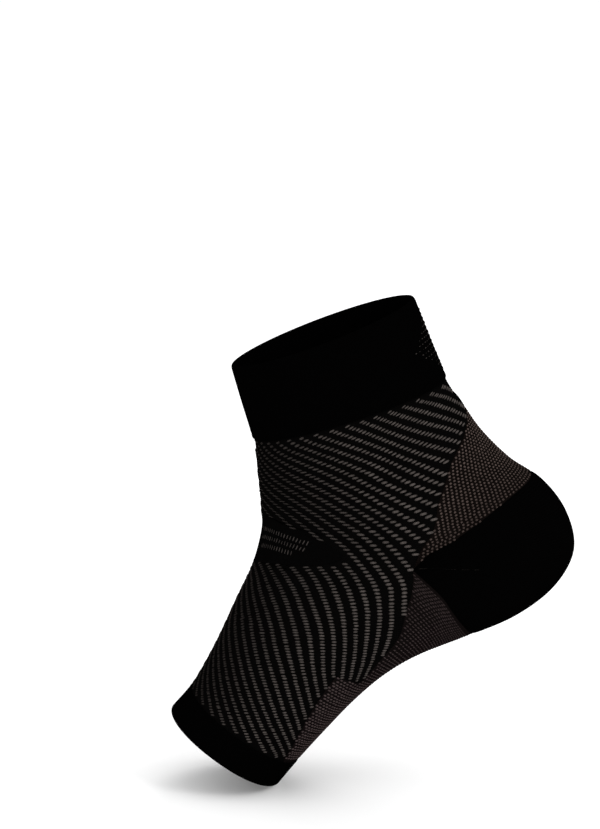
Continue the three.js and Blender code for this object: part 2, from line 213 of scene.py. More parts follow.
def measure_skin():
    """Points of the near side on the fine grid."""
    rows = smooth_table(SECTIONS, FINE_S)
    turn = np.linspace(0, math.pi, 241)
    front = turn <= math.pi / 2
    fu, fw, bu, bw, half, wide, nf, nb = (rows[:, k:k + 1] for k in range(8))
    power = 2 / np.where(front, nf, nb)
    along = np.abs(np.cos(turn)) ** power
    across = np.abs(np.sin(turn)) ** power
    p = np.where(front, wide * (1 - along), wide + (1 - wide) * along)
    v = half * HALF_WIDTH * across
    v[:, 0] = 0
    v[:, -1] = 0
    depth = np.hypot((fu - bu) * FOOT_LENGTH, (fw - bw) * SLEEVE_HEIGHT)
    steps = np.hypot(np.diff(p * depth, axis=1), np.diff(v, axis=1))
    gone = np.concatenate([np.zeros((len(rows), 1)), np.cumsum(steps, axis=1)], axis=1)
    share = gone / gone[:, -1:]
    pp = np.array([np.interp(FINE_T, share[i], p[i]) for i in range(len(rows))])
    vv = np.array([np.interp(FINE_T, share[i], v[i]) for i in range(len(rows))])
    u = (fu * (1 - pp) + bu * pp) * FOOT_LENGTH
    w = (fw * (1 - pp) + bw * pp) * SLEEVE_HEIGHT
    away = np.hypot(u - ANKLE_BONE_U * FOOT_LENGTH, w - ANKLE_BONE_W * SLEEVE_HEIGHT)
    bump = ANKLE_BONE_RISE * np.exp(-((away / ANKLE_BONE_SPREAD) ** 2))
    vv = vv + bump * vv / HALF_WIDTH
    return u[..., None] * ALONG + w[..., None] * OFF - vv[..., None] * np.array([0.0, 1.0, 0.0])


SKIN = measure_skin()


def measure_normals():
    ds = np.gradient(SKIN, axis=0)
    dt = np.gradient(SKIN, axis=1)
    # beyond the middle plane the face goes on mirrored
    dt[:, 0] = (SKIN[:, 1] - SKIN[:, 1] * MIRROR) / 2
    dt[:, -1] = (SKIN[:, -2] * MIRROR - SKIN[:, -2]) / 2
    n = np.cross(dt, ds)
    n[:, 0, 1] = 0
    n[:, -1, 1] = 0
    return n / np.linalg.norm(n, axis=-1, keepdims=True)


NORMALS = measure_normals()


def sample(grid, s, t):
    """Values of a fine grid between its points."""
    x = np.clip(np.asarray(s, float) / LAST_STATION * (len(FINE_S) - 1), 0, len(FINE_S) - 1)
    y = np.clip(np.asarray(t, float) * (len(FINE_T) - 1), 0, len(FINE_T) - 1)
    i = np.minimum(x.astype(int), len(FINE_S) - 2)
    j = np.minimum(y.astype(int), len(FINE_T) - 2)
    f = (x - i)[..., None]
    g = (y - j)[..., None]
    top = grid[i, j] * (1 - g) + grid[i, j + 1] * g
    low = grid[i + 1, j] * (1 - g) + grid[i + 1, j + 1] * g
    return top * (1 - f) + low * f


def skin(s, t):
    """Points and outward normals of the near side (-Y), before the origin is set."""
    n = sample(NORMALS, s, t)
    return sample(SKIN, s, t), n / np.linalg.norm(n, axis=-1, keepdims=True)


seat_point, seat_normal = skin(np.array(SEAT_STATION), np.array(1.0))
SEAT = seat_point + seat_normal * (BAND_STEP - HEEL_WALL)


# Places of the zones

def body_place(row, share01):
    """Station and share of a point of the ribbed body, share01 from the front to its side edge."""
    edge = smooth_table(BODY_ROWS, row, BREAKS)
    s = edge[..., 0] + (edge[..., 1] - edge[..., 0]) * share01
    return s, np.clip(edge[..., 2], 0, 1) * share01


def body_reach(row):
    """Share round the tube at the body's side edge."""
    return np.clip(smooth_table(BODY_ROWS, row, BREAKS)[..., 2], 0, 1)


def patch_share(row):
    """Part of a row, from the front, that the oval covers."""
    off = np.abs(np.asarray(row, float) - PATCH_MIDDLE) / PATCH_HALF
    return PATCH_COLUMNS / BODY_COLUMNS * np.sqrt(np.clip(1 - off ** 1.75, 0, None))


def heel_edge(c, upper):
    """Station and share of the heel pocket's edge, c from its point to the back."""
    row = smooth_table(HEEL_EDGES, np.asarray(c, float) * (len(HEEL_EDGES) - 1))
    return (row[..., 0], row[..., 1]) if upper else (row[..., 2], row[..., 3])


def behind(side_s, side_t, back_s, upper, like_edge, c):
    """Place from the body's side edge to the back, bent like the heel's edge by like_edge."""
    s0, t0 = heel_edge(0.0, upper)
    s1, t1 = heel_edge(1.0, upper)
    s, t = heel_edge(c, upper)
    a = c + ((s - s0) / (s1 - s0) - c) * like_edge
    b = c + ((t - t0) / (t1 - t0) - c) * like_edge
    return side_s + (back_s - side_s) * a, side_t + (1 - side_t) * b


def tendon_place(row, c):
    """row counts as in the body, c from its side edge to the back."""
    edge = smooth_table(BODY_ROWS, row, BREAKS)
    back = smooth_table(TENDON_BACK, row, (1,))[..., 0]
    like = np.clip((row - 4) / (APEX_ROW - 4), 0, 1)
    return behind(edge[..., 1], np.clip(edge[..., 2], 0, 1), back, True, like, c)


def sole_place(row, c):
    """row counts from the heel pocket's point."""
    edge = smooth_table(BODY_ROWS, APEX_ROW + row, BREAKS)
    back = smooth_table(SOLE_BACK, row, (5, 6))[..., 0]
    like = np.clip(1 - row / 3, 0, 1)
    return behind(edge[..., 1], np.clip(edge[..., 2], 0, 1), back, False, like, c)


def heel_place(r, c):
    """r from the upper edge to the lower one, c from the pocket's point to the back."""
    us, ut = heel_edge(c, True)
    ls, lt = heel_edge(c, False)
    return us + (ls - us) * r, ut + (lt - ut) * r


def way_along(points):
    """Distance gone at each point of a line, in mm."""
    return np.concatenate([[0], np.cumsum(np.linalg.norm(np.diff(points, axis=0), axis=1))])


def ways_along(points):
    """Distance gone at each point of each line of a grid, in mm."""
    gone = np.zeros(points.shape[:2])
    gone[:, 1:] = np.cumsum(np.linalg.norm(np.diff(points, axis=1), axis=-1), axis=1)
    return gone


# The walk down the body, in mm from the cuff
BODY_STEPS = np.linspace(0, LAST_ROW, 1701)
WALK = way_along(skin(*body_place(BODY_STEPS, WALK_SHARE / body_reach(BODY_STEPS)))[0])


def walked(row):
    """Walk from the cuff to a row of the body, in mm."""
    return np.interp(row, BODY_STEPS, WALK)


def counted(row):
    """Number of courses from the cuff to a row of the body."""
    return np.interp(row, BODY_STEPS, WALK / COURSE)


def stitch_map(share, row):
    """Columns and stitches counted from the front and from the cuff."""
    return np.stack([share * WALES, counted(row) * STITCHES], axis=-1)


def row_number(row, share):
    """Number of the dash row at rows of the body and shares round it; whole on its middle line."""
    down = walked(row) / WALK[-1] * (len(ROW_NUMBERS) - 1)
    lines = smooth_table(ROW_NUMBERS, down)
    last = lines.shape[-1] - 1
    x = np.clip(share, 0, 1) * last
    i = np.minimum(x.astype(int), last - 1)
    f = x - i

    def pick(k):
        return np.take_along_axis(lines, np.clip(k, 0, last)[..., None], -1)[..., 0]

    b = pick(i)
    c = pick(i + 1)
    a = np.where(i == 0, 2 * b - c, pick(i - 1))
    d = np.where(i == last - 1, 2 * c - b, pick(i + 2))
    return curve(a, b, c, d, f)


# Mesh making

def make_object(name, verts, faces, uvs, material, weld=True, second=None):
    """verts in mm before the origin is set, faces as index arrays, uvs per vertex."""
    places = (np.asarray(verts) - SEAT) * MM
    mesh = bpy.data.meshes.new(name)
    faces = np.asarray(faces, np.int64)
    mesh.vertices.add(len(places))
    mesh.vertices.foreach_set("co", places.ravel())
    mesh.loops.add(faces.size)
    mesh.loops.foreach_set("vertex_index", faces.ravel())
    mesh.polygons.add(len(faces))
    mesh.polygons.foreach_set("loop_start", np.arange(0, faces.size, faces.shape[1]))
    mesh.update(calc_edges=True)
    layer = mesh.uv_layers.new(name="stitch")
    layer.data.foreach_set("uv", np.asarray(uvs)[faces.ravel()].ravel())
    if second is not None:
        shade = mesh.uv_layers.new(name="shade")
        shade.data.foreach_set("uv", np.asarray(second)[faces.ravel()].ravel())
    if weld:
        bm = bmesh.new()
        bm.from_mesh(mesh)
        bmesh.ops.remove_doubles(bm, verts=bm.verts, dist=2e-7)
        bmesh.ops.dissolve_degenerate(bm, edges=bm.edges, dist=1e-7)
        bm.to_mesh(mesh)
        bm.free()
    mesh.polygons.foreach_set("use_smooth", [True] * len(mesh.polygons))
    mesh.materials.append(material)
    obj = bpy.data.objects.new(name, mesh)
    bpy.context.scene.collection.objects.link(obj)
    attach(obj, "root")
    return obj


def shell(name, S, T, outer, inner, uv, material, node):
    """One closed shell from a grid of stations and shares, mirrored in the middle plane. The
    outer and inner faces lie that many mm off the skin."""
    nr, nc = S.shape
    p, n = skin(S, T)
    middle = (T <= 1e-9) | (T >= 1 - 1e-9)
    p[middle, 1] = 0
    n[middle, 1] = 0
    n /= np.linalg.norm(n, axis=-1, keepdims=True)
    near_out = p + n * outer[..., None]
    near_in = p + n * inner[..., None]
    near = np.concatenate([near_out.reshape(-1, 3), near_in.reshape(-1, 3)])
    verts = np.concatenate([near, near * MIRROR])
    count = nr * nc
    index = np.arange(count).reshape(nr, nc)
    faces = []

    def quads(a, b, c, d, base, flipped):
        stack = [a, d, c, b] if flipped else [a, b, c, d]
        faces.append(np.stack([x.ravel() + base for x in stack], axis=1))

    a, b, c, d = index[:-1, :-1], index[1:, :-1], index[1:, 1:], index[:-1, 1:]
    for far in (False, True):
        base = 2 * count if far else 0
        quads(a, b, c, d, base, far)
        quads(a, d, c, b, base + count, far)
        first, last = index[0], index[-1]
        quads(first[:-1], first[1:], first[1:] + count, first[:-1] + count, base, far)
        quads(last[:-1], last[:-1] + count, last[1:] + count, last[1:], base, far)
        open_start = ~((T[:-1, 0] <= 1e-9) & (T[1:, 0] <= 1e-9))
        i = index[:-1, 0][open_start]
        k = index[1:, 0][open_start]
        quads(i, i + count, k + count, k, base, far)
        open_end = ~((T[:-1, -1] >= 1 - 1e-9) & (T[1:, -1] >= 1 - 1e-9))
        i = index[:-1, -1][open_end]
        k = index[1:, -1][open_end]
        quads(i, k, k + count, i + count, base, far)
    faces = np.concatenate(faces)
    flat = uv.reshape(-1, 2)
    uvs = np.concatenate([flat, flat, flat * [-1, 1], flat * [-1, 1]])
    obj = make_object(name, verts, faces, uvs, material)
    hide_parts(node)
    return obj


def float_ways(s, t, ds, dt):
    """Directions along (ds, dt), across it on the skin, and out of the skin."""
    centre, n = skin(s, t)
    ahead, _ = skin(s + ds, t + dt)
    along = ahead - centre
    along -= n * np.sum(along * n, axis=-1, keepdims=True)
    along /= np.linalg.norm(along, axis=-1, keepdims=True)
    return along, np.cross(n, along), n


def floats(name, s, t, ds, dt, length, width, height, sink, tilt, shade, material, seed):
    """Small raised yarn floats at stations s and shares t. Each lies along the direction (ds, dt)
    turned by its tilt in degrees, rises by its height and reaches down by sink, all in mm. The
    shade scales how light its yarn is."""
    rng = np.random.default_rng(seed)
    centre, _ = skin(s, t)
    along, across, n = float_ways(s, t, ds, dt)
    count = len(s)
    length = length * rng.uniform(0.92, 1.08, count)
    width = width * rng.uniform(0.9, 1.1, count)
    height = height * rng.uniform(0.85, 1.1, count)
    turn = (np.radians(tilt) + rng.normal(0, 0.045, count))[:, None]
    along, across = (
        along * np.cos(turn) + across * np.sin(turn),
        across * np.cos(turn) - along * np.sin(turn),
    )
    centre = centre + along * rng.normal(0, 0.07, count)[:, None]
    centre = centre + across * rng.normal(0, 0.05, count)[:, None]
    along_at = np.array([-0.9, -0.5, 0.5, 0.9])
    full = np.array([0.66, 1.0, 1.0, 0.66])
    arc = np.radians([0, 45, 90, 135, 180])
    verts = [
        centre - along * (length / 2)[:, None] - n * sink,
        centre + along * (length / 2)[:, None] - n * sink,
    ]
    for k in range(4):
        for angle in arc:
            side = math.cos(angle) * full[k]
            up = math.sin(angle) * full[k]
            verts.append(
                centre + along * (along_at[k] * length / 2)[:, None]
                + across * (side * width / 2)[:, None]
                + n * (up * (height + sink) - sink)[:, None]
            )
    verts = np.stack(verts, axis=1)
    quads = []
    for k in range(3):
        for m in range(4):
            p = 2 + k * 5 + m
            quads.append([p, p + 5, p + 6, p + 1])
    for m in range(4):
        quads.append([0, 2 + m, 3 + m, 3 + m])
        quads.append([1, 18 + m, 17 + m, 17 + m])
    # one closed underside
    quads.append([0, 6, 2, 2])
    quads.append([2, 6, 11, 7])
    quads.append([7, 11, 16, 12])
    quads.append([12, 16, 21, 17])
    quads.append([17, 21, 1, 1])
    quads = np.array(quads)
    tris = np.concatenate([quads[:, [0, 1, 2]], quads[:, [0, 2, 3]]])
    a, b, c = tris.T
    tris = tris[(a != b) & (b != c) & (a != c)]
    near = verts.reshape(-1, 3)
    far = near * MIRROR
    offsets = (np.arange(count) * verts.shape[1])[:, None, None]
    faces = (tris[None] + offsets).reshape(-1, 3)
    faces = np.concatenate([faces, faces[:, ::-1] + len(near)])
    # the first map holds the place along and round the float, the second its shade
    place = np.concatenate([[0.0, 1.0], np.repeat((along_at + 1) / 2, 5)])
    ring = np.concatenate([[0.5, 0.5], np.tile(np.linspace(0, 1, 5), 4)])
    uv = np.stack([np.tile(place, count), np.tile(ring, count)], axis=1)
    uv = np.concatenate([uv, uv])
    tone = (shade * rng.uniform(0.72, 1.0, count)).repeat(verts.shape[1])
    second = np.stack([np.tile(tone, 2), np.tile(tone, 2)], axis=1)
    return make_object(
        name, np.concatenate([near, far]), faces, uv, material, weld=False, second=second
    )


# Materials

KNIT_ROUGHNESS = 0.9
STITCH_LEAN = 1.3  # rise of a stitch's arm over a column, in stitches
FUZZ_SCALE = 900
FUZZ_DETAIL = 4
FUZZ_PART = 0.35  # part of the relief that is fuzz
PAINTED_END_SHADE = 3.2  # how fast the painted shade darkens a float toward its ends, where it dips into the knit
YARN_TWIST = 5.0  # turns of the ply along a float
# painted shade in the grooves of the ply twist: the yarn is darker where its ply relief is low
PLY_SHADE = 0.1
PLY_RELIEF = 0.00012  # metres


def new_material(name, colour, rough):
    material = bpy.data.materials.new(name)
    material.use_nodes = True
    tree = material.node_tree
    shader = tree.nodes["Principled BSDF"]
    shader.inputs["Base Color"].default_value = (*colour, 1)
    shader.inputs["Roughness"].default_value = rough
    shader.inputs["Specular IOR Level"].default_value = 0.0
    return material, tree, shader


def math_node(tree, operation, a, b=None, c=None, clamp=False):
    node = tree.nodes.new("ShaderNodeMath")
    node.operation = operation
    node.use_clamp = clamp
    for socket, value in zip(node.inputs, (a, b, c)):
        if value is None:
            continue
        if isinstance(value, (int, float)):
            socket.default_value = value
        else:
            tree.links.new(value, socket)
    return node.outputs[0]


def map_axes(tree, uv_map):
    """The two axes of a map."""
    place = tree.nodes.new("ShaderNodeUVMap")
    place.uv_map = uv_map
    split = tree.nodes.new("ShaderNodeSeparateXYZ")
    tree.links.new(place.outputs[0], split.inputs[0])
    return split.outputs[0], split.outputs[1]


def stitch_height(tree):
    """Height of V-shaped stitches from the stitch map: one column and one stitch to a unit."""
    u, v = map_axes(tree, "stitch")
    off = math_node(tree, "SUBTRACT", math_node(tree, "FRACT", u), 0.5)
    off = math_node(tree, "ABSOLUTE", off)
    lean = math_node(tree, "MULTIPLY_ADD", off, STITCH_LEAN, v)
    wave = math_node(tree, "SINE", math_node(tree, "MULTIPLY", lean, 2 * math.pi))
    arm = math_node(tree, "SUBTRACT", 1.0, math_node(tree, "MULTIPLY", off, 4.0))
    arm = math_node(tree, "SUBTRACT", 1.0, math_node(tree, "MULTIPLY", arm, arm))
    loop = math_node(tree, "MULTIPLY_ADD", wave, 0.5, 0.5)
    return math_node(tree, "MULTIPLY", loop, arm)


def add_bump(tree, shader, height, distance):
    bump = tree.nodes.new("ShaderNodeBump")
    bump.inputs["Strength"].default_value = 1.0
    bump.inputs["Distance"].default_value = distance
    tree.links.new(height, bump.inputs["Height"])
    tree.links.new(bump.outputs[0], shader.inputs["Normal"])


def colour_mix(tree, factor, low, high):
    ramp = tree.nodes.new("ShaderNodeValToRGB")
    ramp.color_ramp.elements[0].color = (*low, 1)
    ramp.color_ramp.elements[1].color = (*high, 1)
    tree.links.new(factor, ramp.inputs[0])
    return ramp.outputs[0]


def fuzz_noise(tree):
    node = tree.nodes.new("ShaderNodeTexNoise")
    node.inputs["Scale"].default_value = FUZZ_SCALE
    node.inputs["Detail"].default_value = FUZZ_DETAIL
    place = tree.nodes.new("ShaderNodeTexCoord")
    tree.links.new(place.outputs["Object"], node.inputs["Vector"])
    return node.outputs["Fac"]


def knit_material(name, low, high, depth):
    """Knit from its low to its high colour, with a relief of depth in metres. The colour follows
    the relief: painted shade between the stitch loops, mixed with random fuzz tone.
    """
    material, tree, shader = new_material(name, low, KNIT_ROUGHNESS)
    height = math_node(tree, "MULTIPLY", stitch_height(tree), 1 - FUZZ_PART)
    mixed = math_node(tree, "MULTIPLY_ADD", fuzz_noise(tree), FUZZ_PART, height)
    # painted shade: the knit is darker where its stitch relief is low and lighter on the loops
    tree.links.new(colour_mix(tree, mixed, low, high), shader.inputs["Base Color"])
    add_bump(tree, shader, mixed, depth)
    return material


PLAIN_BLACK = ((0.0003, 0.0003, 0.0003), (0.0012, 0.0011, 0.0011))
BLACK = knit_material("black_knit", *PLAIN_BLACK, 0.00022)
WELT = knit_material("welt_knit", *PLAIN_BLACK, 0.0003)
HEEL = knit_material("heel_knit", *PLAIN_BLACK, 0.00022)
RIBBED = knit_material("rib_knit", (0.0005, 0.0005, 0.0005), (0.0034, 0.003, 0.0029), 0.00025)
MESHED = knit_material("tendon_knit", (0.001, 0.0007, 0.0006), (0.0078, 0.0056, 0.005), 0.00025)
SOLED = knit_material("sole_knit", (0.0012, 0.0009, 0.0009), (0.0085, 0.0062, 0.006), 0.00025)
WOVEN = knit_material("oval_knit", (0.0005, 0.0005, 0.0005), (0.0026, 0.0023, 0.0023), 0.0002)


def yarn_material(name, dark, light, rough):
    """Grey-brown yarn whose shade differs from float to float, with painted shade toward the float
    ends and in the grooves of the ply.
    """
    material, tree, shader = new_material(name, dark, rough)
    shade, _ = map_axes(tree, "shade")
    along, around = map_axes(tree, "stitch")
    # painted shade: each float darkens toward its ends, where it dips into the knit
    end = math_node(tree, "ABSOLUTE", math_node(tree, "SUBTRACT", along, 0.5))
    end = math_node(tree, "MULTIPLY", math_node(tree, "MULTIPLY", end, end), PAINTED_END_SHADE)
    end = math_node(tree, "SUBTRACT", 1.0, end)
    twist = math_node(tree, "MULTIPLY_ADD", along, YARN_TWIST, around)
    ply = math_node(tree, "SINE", math_node(tree, "MULTIPLY", twist, 2 * math.pi))
    # painted shade: the colour follows the ply relief, darker in its grooves
    mix = math_node(tree, "MULTIPLY_ADD", ply, PLY_SHADE, shade)
    mix = math_node(tree, "MULTIPLY", mix, end, clamp=True)
    tree.links.new(colour_mix(tree, mix, dark, light), shader.inputs["Base Color"])
    add_bump(tree, shader, ply, PLY_RELIEF)
    return material


DASH = yarn_material("dash_yarn", (0.005, 0.0043, 0.0041), (0.085, 0.073, 0.067), 0.85)
DOT = yarn_material("tendon_yarn", (0.006, 0.0043, 0.0038), (0.132, 0.098, 0.086), 0.85)
SOLE_DOT = yarn_material("sole_yarn", (0.006, 0.0043, 0.0043), (0.078, 0.057, 0.056), 0.8)
TICK = yarn_material("motif_yarn", (0.004, 0.0036, 0.0034), (0.05, 0.043, 0.04), 0.8)


def rounded(r, drop, share, last=True):
    """How far a band's faces draw in toward its edges."""
    a = np.clip(r / share, 0, 1)
    b = np.clip((1 - r) / share, 0, 1) if last else np.ones_like(r)
    near = np.minimum(a, b)
    return drop * (1 - np.sqrt(1 - (1 - near) ** 2))


def edge_spaced(count, share, extra):
    """Places from 0 to 1 with more of them toward both ends."""
    ends = share * (1 - np.cos(np.linspace(0, math.pi / 2, extra)))[:-1]
    return np.concatenate([ends, np.linspace(share, 1 - share, count), 1 - ends[::-1]])


def narrow(r, middle, width):
    """A narrow rounded line at the middle, 1 high."""
    return np.exp(-(((r - middle) / width) ** 2))


CUFF_STITCHES = 52  # down the cuff
HEEL_STITCHES = 60  # down the heel pocket
HEEL_WALES = 70
TOE_STITCHES = 24  # down the toe band

# Cuff: a doubled welt with rolled edges and a line of linking stitches near its lower edge
r = edge_spaced(46, 0.05, 6)
c = np.linspace(0, 1, 141)
R, C = np.meshgrid(r, c, indexing="ij")
S = LAST_STATION - R
drop = rounded(R, 0.75, 0.05)
seam = 0.28 * narrow(R, 0.9, 0.012)
wavy = 0.10 * np.sin(C * 2 * math.pi * 3.5 + 1.3 * np.sin(R * 5)) * np.sin(R * math.pi)
uv = np.stack([C * WALES, R * CUFF_STITCHES], axis=-1)
outer = CUFF_STEP - drop - seam + wavy
inner = CUFF_STEP - CUFF_WALL + drop * 0.9
shell("cuff", S, C, outer, inner, uv, WELT, "cuff_band")

# Ribbed body: black ribs stand between the rows of dashes
rows = np.concatenate([
    np.linspace(0, 13, 118), np.linspace(13.06, 14, 7)[:-1], np.linspace(14, LAST_ROW, 32),
])
c = np.linspace(0, 1, 151)
ROW, C = np.meshgrid(rows, c, indexing="ij")
start = patch_share(ROW)
SHARE = C * (1 - start) + start
S, T = body_place(ROW, SHARE)
T[:, -1] = np.where(rows <= 1, 1.0, T[:, -1])
ridge = 0.5 - 0.5 * np.cos(2 * math.pi * row_number(ROW, T))
relief = 0.3 * ridge ** 1.5 - 0.14
outer = relief * np.clip(ROW / 0.25, 0, 1) * np.clip((LAST_ROW - ROW) / 0.3, 0, 1)
inner = np.full_like(S, -KNIT_WALL)
uv = stitch_map(T, ROW)
shell("rib_knit", S, T, outer, inner, uv, RIBBED, "ribbed_body")


def along_dashes(row, t, column):
    """A quantity of the dashes at rows of the body, from its front column to its side one."""
    at = walked(row)
    front = np.interp(at, DASHES[:, 0], DASHES[:, column])
    side = np.interp(at, DASHES[:, 0], DASHES[:, column + 1])
    return front + (side - front) * np.clip((t - 0.3) / 0.25, 0, 1)


OVAL_ROOM = 1.2  # mm that the dashes keep from the oval and from the middle line in front
SIDE_ROOM = 0.45  # mm that they keep from the side edge
BACK_ROOM = 1.5  # mm that they keep from the middle line behind


def place_dashes():
    """Rows of the body and shares of its dashes, spaced along each row of dashes."""
    steps = np.linspace(0.06, 16.93, 1350)
    share01 = np.linspace(0, 1, 161)
    ROW, C = np.meshgrid(steps, share01, indexing="ij")
    s, t = body_place(ROW, C)
    x = ways_along(skin(s, t)[0])
    number = np.maximum.accumulate(row_number(ROW, t), axis=1)
    covered = patch_share(steps)
    places = []
    for k in range(math.ceil(number.min()), math.floor(number.max()) + 1):
        at = np.array([np.interp(k, line, share01, np.nan, np.nan) for line in number])
        good = np.isfinite(at)
        if good.sum() < 3:
            continue
        rows, shares = steps[good], at[good]
        s, t = body_place(rows, shares)
        p, _ = skin(s, t)
        gone = np.linalg.norm(np.diff(p, axis=0), axis=1)
        # the gaps where it leaves the body don't count
        gone[np.diff(rows) > 0.02] = 0
        taken = np.cumsum(gone / along_dashes(rows, t, DASH_STEP)[1:])
        count = counted(rows[0]) + np.concatenate([[0], taken])
        whole = np.arange(math.ceil(count[0]), math.floor(count[-1]) + 1)
        i = np.round(np.interp(whole, count, np.arange(len(rows)))).astype(int)
        lines = np.flatnonzero(good)[i]
        # mm from the front to the dash, to the room beside the oval and to the side edge
        here = np.array([np.interp(a, share01, x[m]) for a, m in zip(shares[i], lines)])
        room = np.array([np.interp(covered[m], share01, x[m]) + OVAL_ROOM for m in lines])
        end = x[lines, -1]
        keep = (here > room) & (here < end - np.where(rows[i] > 1.1, SIDE_ROOM, BACK_ROOM))
        places.append(np.stack([rows[i][keep], shares[i][keep]]))
    return np.concatenate(places, axis=1)


def measure_dashes(row, share, tilt):
    """Length and width in mm of the dashes at their places."""
    def at(row, share):
        s, t = body_place(row, share)
        return skin(s, t)[0], row_number(row, t)

    s, t = body_place(row, share)
    s2, t2 = body_place(row, np.clip(share + STEP, 0, 1))
    along, across, _ = float_ways(s, t, s2 - s, t2 - t)
    p0, n0 = at(row, share)
    p1, n1 = at(row, np.clip(share + STEP, 0, 1))
    p2, n2 = at(row - STEP, share)
    e1, e2, d1, d2 = p1 - p0, p2 - p0, n1 - n0, n2 - n0
    # the slope of the row number along the dash, and its steepest slope
    g11, g12, g22 = (np.sum(u * v, axis=1) for u, v in ((e1, e1), (e1, e2), (e2, e2)))
    turn = np.radians(tilt)[:, None]
    way = along * np.cos(turn) + across * np.sin(turn)
    w1, w2 = np.sum(way * e1, axis=1), np.sum(way * e2, axis=1)
    det = g11 * g22 - g12 * g12
    slope = np.abs((w1 * g22 - w2 * g12) * d1 + (w2 * g11 - w1 * g12) * d2) / det
    steepest = np.sqrt((d1 * d1 * g22 - 2 * d1 * d2 * g12 + d2 * d2 * g11) / det)
    width = DASH_WIDTH * along_dashes(row, t, DASH_STEP) * slope / steepest
    return np.clip(DASH_FILL / slope, 1.5, 3.7), np.clip(width, 0.6, 1.2)


# Dashes of the ribs, darker toward the front: painted shade of the side turned away from the
# light, and partly the knit's stretch there
row, share = place_dashes()
s, t = body_place(row, share)
s2, t2 = body_place(row, np.clip(share + STEP, 0, 1))
tilt = along_dashes(row, t, DASH_TILT)
# painted shade: the dashes darken toward the front, away from the light at the back
shade = np.interp(t, [0.04, 0.2, 0.34, 0.5], [0.2, 0.3, 0.6, 1.0])
length, width = measure_dashes(row, share, tilt)
floats(
    "rib_dashes", s, t, s2 - s, t2 - t, length, width, height=0.24, sink=0.25, tilt=tilt,
    shade=shade, material=DASH, seed=11,
)

# Tendon panel
rows = np.linspace(1.02, APEX_ROW - 0.02, 80)
c = np.linspace(0, 1, 61)
ROW, C = np.meshgrid(rows, c, indexing="ij")
S, T = tendon_place(ROW, C)
T[:, -1] = 1
inner = np.full_like(S, -MESH_WALL)
uv = stitch_map(T, ROW)
shell("tendon_knit", S, T, 0 * S, inner, uv, MESHED, "achilles_panel")

# Sole panel
rows = np.linspace(0.02, LAST_ROW - APEX_ROW, 110)
ROW, C = np.meshgrid(rows, c, indexing="ij")
S, T = sole_place(ROW, C)
T[:, -1] = 1
inner = np.full_like(S, -MESH_WALL)
uv = stitch_map(T, ROW + APEX_ROW)
shell("sole_knit", S, T, 0 * S, inner, uv, SOLED, "sole_panel")


def sole_knots(apart, down_step, offset, margin):
    """Knots of the sole panel: apart along each course, each course offset from the one before.
    Gives stations, shares, directions and rows."""
    rows = np.linspace(0.12, 8.95, 500)
    share = np.linspace(0, 1, 81)
    ROW, C = np.meshgrid(rows, share, indexing="ij")
    p, _ = skin(*sole_place(ROW, C))
    down = way_along(p[:, -1])
    x = ways_along(p)
    out = []
    for k in range(1, int(down[-1] / down_step)):
        i = int(np.searchsorted(down, k * down_step))
        at = np.arange((k * offset) % apart, x[i, -1] - 0.4, apart)
        c = np.interp(at[at > margin], x[i], share)
        line = np.full(len(c), rows[i])
        s1, t1 = sole_place(line, c)
        s2, t2 = sole_place(line, np.clip(c + STEP, 0, 1))
        out.append(np.stack([s1, t1, s2 - s1 + 1e-9, t2 - t1 + 1e-9, line]))
    return np.concatenate(out, axis=1)


def tendon_knots(apart, down_step, rise):
    """Knots of the tendon panel, on level courses that rise toward the back by a fixed angle.
    Gives stations, shares, directions, rows and parts of the way to the back."""
    rows = np.linspace(1.2, 7.94, 500)
    share = np.linspace(0.01, 1, 91)
    ROW, C = np.meshgrid(rows, share, indexing="ij")
    p, _ = skin(*tendon_place(ROW, C))
    level = p[..., 0] * math.sin(rise) - p[..., 2] * math.cos(rise)
    out = []
    for k in range(math.ceil(level.min() / down_step), math.floor(level.max() / down_step) + 1):
        line = np.array([np.interp(k * down_step, way, rows, np.nan, np.nan) for way in level.T])
        good = np.isfinite(line)
        if good.sum() < 4:
            continue
        course, part = line[good], share[good]
        x = way_along(skin(*tendon_place(course, part))[0])
        # counted from the back, where the panel is widest
        at = x[-1] - np.arange(0.5 * (k % 2) * apart + 0.3, x[-1] - 0.5, apart)

        def place(at):
            return tendon_place(np.interp(at, x, course), np.interp(at, x, part))

        (s0, t0), (s1, t1), (s2, t2) = place(at - 0.3), place(at), place(at + 0.3)
        r, c = np.interp(at, x, course), np.interp(at, x, part)
        out.append(np.stack([s1, t1, s2 - s0 + 1e-9, t2 - t0 + 1e-9, r, c]))
    return np.concatenate(out, axis=1)


# Knots of the tendon panel, dimmer toward the heel
s, t, ds, dt, row, share = tendon_knots(apart=2.17, down_step=1.27, rise=math.radians(28))
shade = np.interp(row, [1.5, 4, 6, 7.9], [1.0, 0.82, 0.7, 0.5])
shade = shade * np.interp(share, [0.5, 1], [1, 1.25])
floats(
    "tendon_floats", s, t, ds, dt, length=1.3, width=0.95, height=0.22, sink=0.15, tilt=0.0,
    shade=shade, material=DOT, seed=12,
)

# Knots of the sole, dimmer toward the heel
s, t, ds, dt, row = sole_knots(apart=2.1, down_step=1.3, offset=0.9, margin=0.7)
shade = np.interp(row, [0, 3, 6, 9], [0.42, 0.62, 0.95, 1.05])
width = np.interp(row, [0, 5, 9], [0.6, 0.8, 1.0])
floats(
    "sole_floats", s, t, ds, dt, length=1.8, width=width, height=0.14, sink=0.15, tilt=6.0,
    shade=shade, material=SOLE_DOT, seed=13,
)

